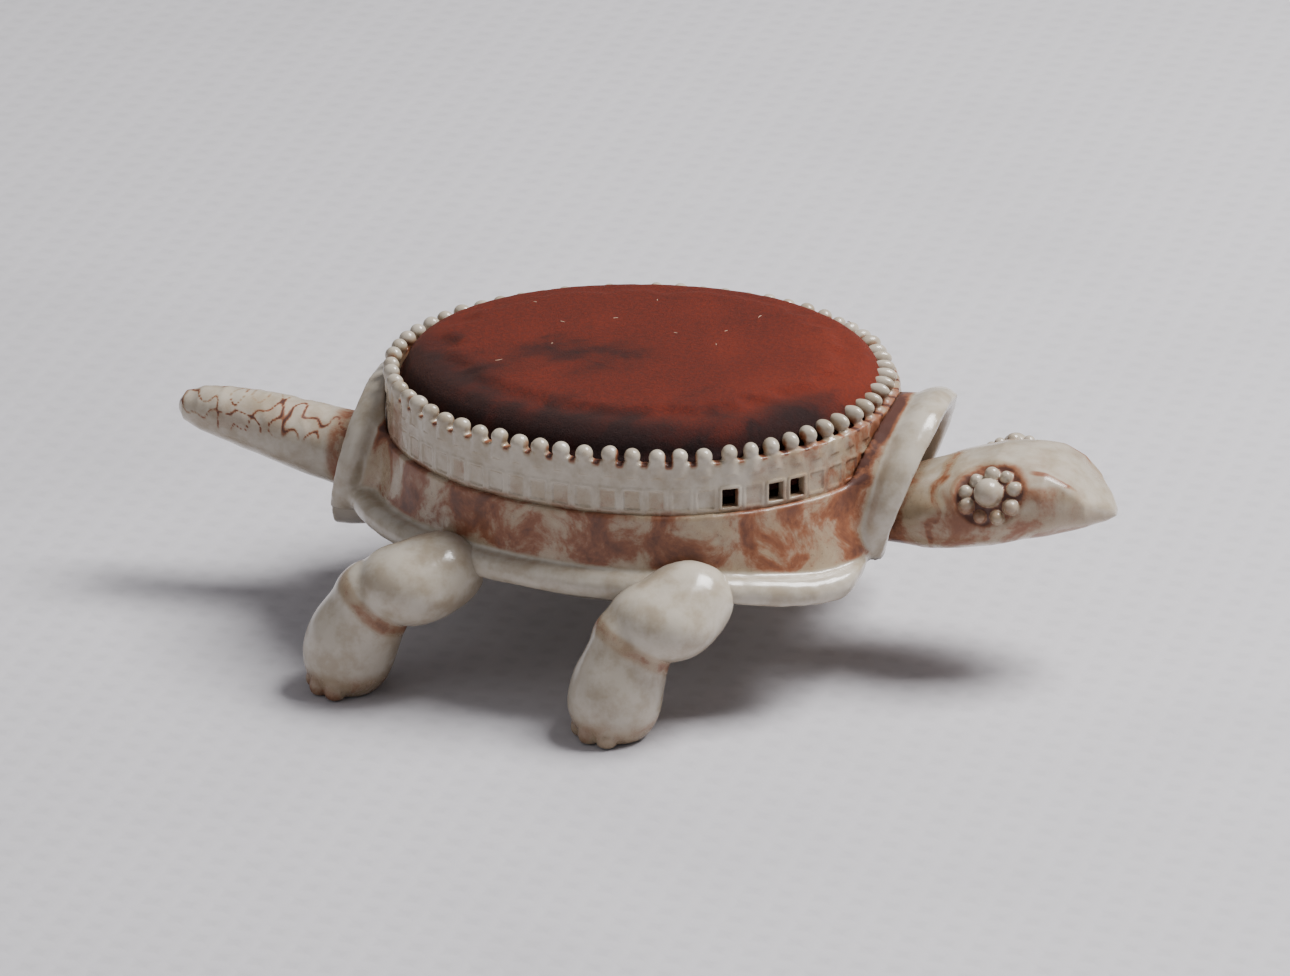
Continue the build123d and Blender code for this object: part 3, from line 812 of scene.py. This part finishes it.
def velvet_nap_shade_and_highlight(piece):
    """Painted shade on the velvet's near slope and along the foot of the gallery, a darker patch left of the
    middle with random darker blotches, and a painted highlight towards the front end.
    """
    s = bpy.context.scene.turtle_shell
    p = points_of(piece) * MM
    inside = -oval_distance(p[:, 0], p[:, 1], s)
    # Painted shade: darker along the cushion's near slope, plus a darker patch left of the middle and random
    # blotches.
    shaded_near_edge = step(11, 1.5, inside) * step(8, -12, p[:, 1] + 0.15 * p[:, 0])
    middle = 0.75 * np.exp(-(((p[:, 0] + 6) / 9) ** 2 + ((p[:, 1] + 5) / 6) ** 2))
    dark = np.clip(shaded_near_edge + middle + 0.3 * ripple(p, 11, 54) * 0.5 + 0.12 * ripple(p, 4, 55), 0, 1)
    # Painted highlight: brighter towards the front end, broken up by random waves.
    front_highlight = np.clip(step(8, 22, p[:, 0]) * 0.9 + 0.2 * ripple(p, 7, 56), 0, 1)
    # Painted shade along the cushion's foot against the gallery, fading out towards the front.
    rim = step(28.9, 27.2, p[:, 2]) * 0.7 * step(22, 5, p[:, 0])
    write_attributes(piece.data, {"laid": np.maximum(dark, rim), "raised": front_highlight})


def lint(context):
    """A few pale stray fibres lying on the velvet."""
    rng = np.random.default_rng(61)
    curve = bpy.data.curves.new("lint", "CURVE")
    curve.dimensions, curve.bevel_depth, curve.bevel_resolution = "3D", context.scene.turtle_cushion.fibre, 1
    starts = [(-14.2, -7.5), (9.0, 9.5)] + [tuple(rng.uniform((-17, -14), (18, 14))) for _ in range(9)]
    for number, (x, y) in enumerate(starts):
        spline = curve.splines.new("NURBS")
        spline.points.add(4)
        turn, size = rng.uniform(0, 2 * pi), (2.2 if number < 2 else rng.uniform(0.5, 1.3))
        for i, point in enumerate(spline.points):
            turn += rng.uniform(-0.5, 0.5)
            x, y = x + cos(turn) * size / 4, y + sin(turn) * size / 4
            lift = 0.12 + 0.18 * sin(pi * i / 4)
            point.co = (x / MM, y / MM, (velvet_high[2] - 0.15 + lift) / MM, 1)
        spline.use_endpoint_u = True
        spline.order_u = 3
    made = bpy.data.objects.new("lint", curve)
    context.scene.collection.objects.link(made)
    return made


# ------------------------------------------------------------------ materials
class Paint:
    """A small helper that adds nodes to a material and links them."""

    def __init__(self, name):
        self.material = bpy.data.materials.new(name)
        self.material.use_nodes = True
        self.tree = self.material.node_tree
        self.shader = self.tree.nodes["Principled BSDF"]
        self.place = self.add("ShaderNodeTexCoord").outputs["Object"]

    def add(self, kind, **settings):
        node = self.tree.nodes.new(kind)
        for key, value in settings.items():
            setattr(node, key, value)
        return node

    def link(self, source, target):
        self.tree.links.new(source, target)

    def feed(self, socket, value):
        if isinstance(value, bpy.types.NodeSocket):
            self.link(value, socket)
        elif isinstance(value, (tuple, list)) and len(value) == 3:
            socket.default_value = (*value, 1)
        else:
            socket.default_value = value

    def noise(self, per_mm, detail=3.0, rough=0.55, twist=0.0):
        node = self.add("ShaderNodeTexNoise")
        self.link(self.place, node.inputs["Vector"])
        node.inputs["Scale"].default_value = per_mm * MM
        node.inputs["Detail"].default_value = detail
        node.inputs["Roughness"].default_value = rough
        node.inputs["Distortion"].default_value = twist
        return node.outputs["Fac"]

    def attribute(self, name):
        return self.add("ShaderNodeAttribute", attribute_name=name).outputs["Fac"]

    def math(self, operation, a, b):
        node = self.add("ShaderNodeMath", operation=operation)
        self.feed(node.inputs[0], a)
        self.feed(node.inputs[1], b)
        return node.outputs[0]

    def between(self, value, low, high, to_low=0.0, to_high=1.0):
        node = self.add("ShaderNodeMapRange", interpolation_type="SMOOTHSTEP")
        self.feed(node.inputs["Value"], value)
        for key, number in (("From Min", low), ("From Max", high), ("To Min", to_low), ("To Max", to_high)):
            node.inputs[key].default_value = number
        return node.outputs["Result"]

    def mix(self, share, a, b):
        node = self.add("ShaderNodeMix", data_type="RGBA")
        self.feed(node.inputs[0], share)
        self.feed(node.inputs[6], a)
        self.feed(node.inputs[7], b)
        return node.outputs[2]

    def bump(self, height, distance_mm, strength=1.0, over=None):
        node = self.add("ShaderNodeBump")
        node.inputs["Strength"].default_value = strength
        node.inputs["Distance"].default_value = distance_mm / MM
        self.feed(node.inputs["Height"], height)
        if over is not None:
            self.link(over, node.inputs["Normal"])
        return node.outputs["Normal"]

    def finish(self, color, roughness, normal, **constants):
        self.feed(self.shader.inputs["Base Color"], color)
        self.feed(self.shader.inputs["Roughness"], roughness)
        self.link(normal, self.shader.inputs["Normal"])
        for key, value in constants.items():
            self.shader.inputs[key.replace("_", " ")].default_value = value
        return self.material


class TurtleColours(bpy.types.PropertyGroup):
    enamel: tint("Enamel", "Cream enamel on the raised places", (0.50, 0.445, 0.365))
    enamel_shade: tint("Enamel shade", "Cream enamel where it lies thicker", (0.36, 0.295, 0.215))
    # The three wash colours are the antiquing's own, and they also paint the shade beside the gallery, on the
    # head's lower sides and snout sides, and at the tail's root.
    tan: tint("Tan", "Thin wash that dulls the enamel round the hollows", (0.33, 0.235, 0.140))
    wash: tint("Wash", "Orange-brown wash in the hollows", (0.22, 0.072, 0.027))
    dark_wash_and_shade: tint("Dark wash", "Dark red-brown wash in the deepest hollows", (0.050, 0.012, 0.007))
    bare: tint("Bare metal", "Rough unpainted casting", (0.10, 0.085, 0.07))
    velvet: tint("Velvet", "Rust-red velvet", (0.070, 0.0075, 0.0035))
    # The dark velvet also paints the shade on the cushion's near slope and along the foot of the gallery.
    velvet_dark: tint("Velvet, laid", "Velvet where the nap lies dark", (0.014, 0.0045, 0.0045))
    # The light velvet also paints the highlight at the cushion's front end.
    velvet_light: tint("Velvet, raised", "Velvet where the nap stands up", (0.165, 0.018, 0.0062))
    steel: tint("Steel", "Plain steel of the yokes and pins", (0.38, 0.37, 0.35))
    weights: tint("Weights", "Dull metal of the counterweights", (0.30, 0.26, 0.20))
    cloth: tint("Cloth", "Pale cloth under the turtle", (0.57, 0.55, 0.575))


def enamel_material(name, strength=1.0):
    """Cream enamel over a casting, with the brown wash, and the painted shade laid in the same colours, where
    the wash attribute is high.
    """
    colours = bpy.context.scene.turtle_colours
    m = Paint(name)
    wash = m.attribute("wash")
    blotch = m.noise(0.21, 6, 0.62, 0.5)
    fine = m.noise(1.4, 6, 0.7)
    spread = m.math("ADD", m.between(blotch, 0.36, 0.66, 0.12, 1.4), m.between(fine, 0.3, 0.7, -0.12, 0.12))
    sure = m.math("MULTIPLY", m.math("MAXIMUM", m.math("SUBTRACT", wash, 0.95), 0.0), 2.2)
    # How much wash is laid, together with the painted shade that shares its attribute, spread in blotches.
    laid = m.math("ADD", m.math("MULTIPLY", wash, spread), sure)
    amount = m.between(laid, 0.1, 1.15, 0, strength)
    deep = m.between(laid, 0.9, 1.9, 0, 0.9 * strength)
    thick = m.between(m.noise(0.35, 4, 0.6), 0.35, 0.7)
    cream = m.mix(thick, tuple(colours.enamel), tuple(colours.enamel_shade))
    color = m.mix(m.between(wash, 0.05, 0.8, 0, 0.75), cream, tuple(colours.tan))
    color = m.mix(amount, color, tuple(colours.wash))
    color = m.mix(deep, color, tuple(colours.dark_wash_and_shade))
    speck = m.math("MULTIPLY", m.between(m.noise(2.2, 5, 0.8), 0.55, 0.7, 0, 0.4), m.between(wash, 0.1, 0.7))
    color = m.mix(speck, color, tuple(colours.dark_wash_and_shade))
    skin = m.bump(m.noise(0.7, 3, 0.5), 0.05, 0.5)
    skin = m.bump(fine, 0.03, 0.45, skin)
    roughness = m.between(m.math("ADD", amount, m.math("MULTIPLY", fine, 0.4)), 0.1, 0.9, 0.2, 0.55)
    bare = m.attribute("bare")
    rough = m.noise(1.3, 8, 0.8)
    casting = m.mix(m.between(rough, 0.35, 0.7), tuple(colours.bare), (0.24, 0.21, 0.17))
    color = m.mix(bare, color, casting)
    roughness = m.math("ADD", roughness, m.math("MULTIPLY", bare, 0.3))
    skin = m.bump(m.math("MULTIPLY", rough, bare), 0.35, 0.9, skin)
    return m.finish(color, roughness, skin, Coat_Weight=0.25, Coat_Roughness=0.12, IOR=1.5)


def velvet_material():
    """Worn velvet: darker with painted shade on the near slope and along the gallery, brighter with a painted
    highlight at the front end, mottled by random tufts and hairs, with a soft sheen.
    """
    colours = bpy.context.scene.turtle_colours
    m = Paint("velvet")
    blotch = m.noise(0.22, 6, 0.65, 0.5)
    tuft = m.noise(2.6, 5, 0.8)
    hair = m.noise(8.0, 3, 0.75)
    # Painted shade on the near slope and along the gallery, with random blotches.
    laid = m.math("ADD", m.attribute("laid"), m.between(blotch, 0.45, 0.75, -0.12, 0.3))
    # Painted highlight towards the front end, broken up by tufts.
    raised = m.math("MULTIPLY", m.attribute("raised"), m.between(tuft, 0.3, 0.65, 0.35, 1))
    color = m.mix(m.between(tuft, 0.38, 0.66, 0, 0.6), tuple(colours.velvet), tuple(colours.velvet_light))
    color = m.mix(raised, color, tuple(colours.velvet_light))
    color = m.mix(m.between(laid, 0.1, 1.0), color, tuple(colours.velvet_dark))
    color = m.mix(m.between(hair, 0.5, 0.72, 0, 0.45), color, tuple(colours.velvet_dark))
    skin = m.bump(tuft, 0.22, 0.8)
    skin = m.bump(hair, 0.1, 0.8, skin)
    return m.finish(color, m.between(tuft, 0.2, 0.8, 0.82, 0.98), skin, IOR=1.35,
                    Sheen_Weight=0.1, Sheen_Roughness=0.4, Sheen_Tint=(0.90, 0.26, 0.12, 1))


def steel_material(name, color, grain_per_mm):
    """Drawn or turned metal with fine scratches, dulled in patches."""
    m = Paint(name)
    dull = m.noise(0.9, 5, 0.65)
    grain = m.noise(grain_per_mm, 4, 0.8)
    shade = tuple(0.45 * c for c in color)
    base = m.mix(m.between(dull, 0.35, 0.7), tuple(color), shade)
    base = m.mix(m.between(grain, 0.62, 0.8, 0, 0.35), base, (0.12, 0.06, 0.03))
    skin = m.bump(grain, 0.03, 0.6)
    return m.finish(base, m.between(dull, 0.3, 0.8, 0.28, 0.6), skin, Metallic=0.85)


def fibre_material(name, color, dark, per_mm):
    """Packed or pressed fibre: stuffing, board and lint."""
    m = Paint(name)
    strands = m.noise(per_mm, 7, 0.75, 1.2)
    patches = m.noise(0.3, 4, 0.6)
    base = m.mix(m.between(strands, 0.3, 0.7), color, dark)
    base = m.mix(m.between(patches, 0.45, 0.8, 0, 0.4), base, dark)
    return m.finish(base, m.between(strands, 0.2, 0.8, 0.8, 0.98), m.bump(strands, 0.15, 0.7))


def cloth_material():
    """A pale plain-woven cloth with faint stains and slubs."""
    colours = bpy.context.scene.turtle_colours
    m = Paint("floor_cloth")
    thread_pitch, waves_per_scale = 0.53, 20
    weave = []
    for axis in ("X", "Y"):
        wave = m.add("ShaderNodeTexWave", bands_direction=axis)
        m.link(m.place, wave.inputs["Vector"])
        wave.inputs["Scale"].default_value = MM / thread_pitch / waves_per_scale
        wave.inputs["Distortion"].default_value = 0.6
        wave.inputs["Detail Scale"].default_value = 2.0
        weave.append(wave.outputs["Fac"])
    threads = m.math("MAXIMUM", *weave)
    stain = m.noise(0.012, 5, 0.55)
    slub = m.noise(0.5, 6, 0.7)
    base = m.mix(m.between(stain, 0.45, 0.75), tuple(colours.cloth), tuple(0.9 * c for c in colours.cloth))
    base = m.mix(m.between(threads, 0.1, 0.7, 0.22, 0), base, tuple(0.72 * c for c in colours.cloth))
    base = m.mix(m.between(slub, 0.6, 0.8, 0, 0.12), base, tuple(0.8 * c for c in colours.cloth))
    skin = m.bump(m.math("ADD", threads, m.math("MULTIPLY", slub, 0.8)), 0.12, 0.5)
    skin = m.bump(m.noise(0.03, 3, 0.5), 3.0, 0.25, skin)
    return m.finish(base, m.between(slub, 0.2, 0.8, 0.85, 0.97), skin, Sheen_Weight=0.15)


# ------------------------------------------------------------------ operators
def enamelled(name, field, low, high, cell, paint, body, slot_name, node, strength=1.0):
    """An enamelled casting that stands for a frame node."""
    piece = cast(name, field, low, high, cell * MM, paint)
    piece.data.materials.append(enamel_material(f"{name}_enamel", strength))
    fit(piece, body, slot_name, node)
    return {"FINISHED"}


class TURTLE_OT_shell(bpy.types.Operator):
    """Makes the shell casting with its rolled margin and two hoods"""

    bl_idname = "turtle.shell"
    bl_label = "Shell Casting"

    def execute(self, context):
        low, high = corners_mm("shell_casting")
        cell = context.scene.turtle_shell.cell
        return enamelled("shell", shell_field, low - 2.5, high + 2.5, cell, shell_paint,
                         "root", "shell_enamel", "shell_casting")


class TURTLE_OT_belly(bpy.types.Operator):
    """Makes the belly plate that closes the shell"""

    bl_idname = "turtle.belly"
    bl_label = "Belly Plate"

    def execute(self, context):
        cell = context.scene.turtle_shell.cell
        return enamelled("belly", belly_field, belly_low - 1.5, belly_high + 1.0, cell, belly_paint,
                         "root", "shell_enamel", "belly_plate")


class TURTLE_OT_legs(bpy.types.Operator):
    """Makes the four chubby legs"""

    bl_idname = "turtle.legs"
    bl_label = "Legs"

    def execute(self, context):
        cell = context.scene.turtle_limbs.leg_cell * MM
        enamel = enamel_material("leg_enamel", 0.75)
        for end in ("front", "rear"):
            for hand, side in (("right", -1), ("left", 1)):
                node = f"leg_{end}_{hand}"
                low, high = corners_mm(node)
                low[2] = -1
                piece = cast(f"{node}_skin", lambda p: leg_field(p, end, side),
                             low - (1.5, 1.5, 0), high + 1.5, cell, leg_paint(end, side))
                piece.data.materials.append(enamel)
                fit(piece, "root", "leg_enamel", node)
        return {"FINISHED"}


class TURTLE_OT_gallery(bpy.types.Operator):
    """Makes the pierced gallery and its prongs"""

    bl_idname = "turtle.gallery"
    bl_label = "Gallery"

    def execute(self, context):
        cell = context.scene.turtle_gallery.cell
        return enamelled("gallery", gallery_field, gallery_low - 0.6, gallery_high + 1.2, cell, gallery_paint,
                         "root", "gallery_enamel", "gallery_band")


class TURTLE_OT_head(bpy.types.Operator):
    """Makes the nodding head with its beaded eyes"""

    bl_idname = "turtle.head"
    bl_label = "Head"

    def execute(self, context):
        cell = context.scene.turtle_limbs.head_cell
        return enamelled("head", head_field, head_low - 1.2, head_high + 1.2, cell, head_paint,
                         "head", "head_enamel", "head_casting", 0.95)


class TURTLE_OT_tail(bpy.types.Operator):
    """Makes the nodding tail"""

    bl_idname = "turtle.tail"
    bl_label = "Tail"

    def execute(self, context):
        cell = context.scene.turtle_limbs.tail_cell
        return enamelled("tail", tail_field, tail_low - 1.2, tail_high + 1.2, cell, tail_paint,
                         "tail", "tail_enamel", "tail_casting")


class TURTLE_OT_cushion(bpy.types.Operator):
    """Makes the stuffed velvet cushion and the lint on it"""

    bl_idname = "turtle.cushion"
    bl_label = "Velvet Cushion"

    def execute(self, context):
        piece = stuffed(context)
        velvet_nap_shade_and_highlight(piece)
        piece.data.materials.append(velvet_material())
        fit(piece, "root", "velvet", "cushion_velvet")
        fibres = lint(context)
        strands = fibre_material("lint_fibre", (0.55, 0.42, 0.30), (0.42, 0.28, 0.18), 2.5)
        fibres.data.materials.append(strands)
        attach(fibres, "root")
        return {"FINISHED"}


class TURTLE_OT_mechanism(bpy.types.Operator):
    """Gives the hidden board, stuffing, yokes, pins, swivels and weights their materials"""

    bl_idname = "turtle.mechanism"
    bl_label = "Mechanism"

    def execute(self, context):
        colours = context.scene.turtle_colours
        steel = steel_material("yoke_steel_drawn", tuple(colours.steel), 6.0)
        swivel = steel_material("swivel_steel_turned", tuple(0.85 * c for c in colours.steel), 9.0)
        weight = steel_material("weight_metal_cast", tuple(colours.weights), 2.5)
        finishes = {
            "cushion_board": fibre_material("board_pressed", (0.30, 0.20, 0.12), (0.18, 0.11, 0.06), 1.6),
            "cushion_filling": fibre_material("filling_packed", (0.52, 0.42, 0.29), (0.33, 0.25, 0.15), 1.1),
            "swivel_washers": swivel,
        }
        for limb in ("head", "tail"):
            finishes |= {f"{limb}_yoke": steel, f"{limb}_pivot_pin": steel, f"{limb}_swivel_eye": swivel,
                         f"{limb}_weight": weight}
        for node, finish in finishes.items():
            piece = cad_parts[node]
            piece.data.materials.clear()
            piece.data.materials.append(finish)
        return {"FINISHED"}


class TURTLE_OT_stage(bpy.types.Operator):
    """Makes the cloth floor, the soft lights and the camera"""

    bl_idname = "turtle.stage"
    bl_label = "Stage"

    def execute(self, context):
        bpy.ops.mesh.primitive_plane_add(size=6)
        floor = context.object
        floor.name = "floor"
        floor.data.materials.append(cloth_material())
        world = bpy.data.worlds.new("soft_room")
        context.scene.world = world
        world.use_nodes = True
        background = world.node_tree.nodes["Background"]
        background.inputs["Color"].default_value = (0.80, 0.80, 0.86, 1)
        background.inputs["Strength"].default_value = 0.27
        for name, place, size, power in (
            ("key", (0.27, 0.12, 0.50), 0.26, 7.0),
            ("fill", (-0.45, -0.5, 0.35), 0.6, 0.6),
        ):
            lamp = bpy.data.lights.new(name, "AREA")
            lamp.size, lamp.energy = size, power
            light = bpy.data.objects.new(name, lamp)
            light.location = place
            light.rotation_euler = (Vector((0, 0, 0.015)) - Vector(place)).to_track_quat("-Z", "Y").to_euler()
            context.scene.collection.objects.link(light)
        azimuth, elevation, away, frame_width = radians(15), radians(21.9), 0.80, 0.129
        target = Vector((0.0003, 0, 0.0144))
        way = Vector((sin(azimuth) * cos(elevation), -cos(azimuth) * cos(elevation), sin(elevation)))
        eye = bpy.data.cameras.new("camera")
        eye.sensor_width, eye.lens = 36, 36 * away / frame_width
        camera = bpy.data.objects.new("camera", eye)
        camera.location = target + way * away
        camera.rotation_euler = (-way).to_track_quat("-Z", "Y").to_euler()
        context.scene.collection.objects.link(camera)
        context.scene.camera = camera
        return {"FINISHED"}


class TURTLE_PT_panel(bpy.types.Panel):
    """Lists the pieces of the turtle"""

    bl_label = "Turtle Pin Cushion"
    bl_idname = "TURTLE_PT_panel"
    bl_space_type = "VIEW_3D"
    bl_region_type = "UI"
    bl_category = "Turtle"

    def draw(self, context):
        for maker in PIECES:
            self.layout.operator(maker.bl_idname)


GROUPS = (
    ("turtle_shell", TurtleShellSizes),
    ("turtle_hoods", TurtleHoodSizes),
    ("turtle_gallery", TurtleGallerySizes),
    ("turtle_cushion", TurtleCushionSizes),
    ("turtle_limbs", TurtleLimbSizes),
    ("turtle_colours", TurtleColours),
)
PIECES = (
    TURTLE_OT_shell, TURTLE_OT_belly, TURTLE_OT_legs, TURTLE_OT_gallery, TURTLE_OT_head, TURTLE_OT_tail,
    TURTLE_OT_cushion, TURTLE_OT_mechanism, TURTLE_OT_stage,
)


def register():
    for name, group in GROUPS:
        bpy.utils.register_class(group)
        setattr(bpy.types.Scene, name, PointerProperty(type=group))
    for maker in (*PIECES, TURTLE_PT_panel):
        bpy.utils.register_class(maker)


def unregister():
    for maker in (TURTLE_PT_panel, *reversed(PIECES)):
        bpy.utils.unregister_class(maker)
    for name, group in reversed(GROUPS):
        delattr(bpy.types.Scene, name)
        bpy.utils.unregister_class(group)


def main():
    """Builds every piece in order."""
    register()
    for maker in PIECES:
        family, name = maker.bl_idname.split(".")
        getattr(getattr(bpy.ops, family), name)()


if __name__ == "__main__":
    main()
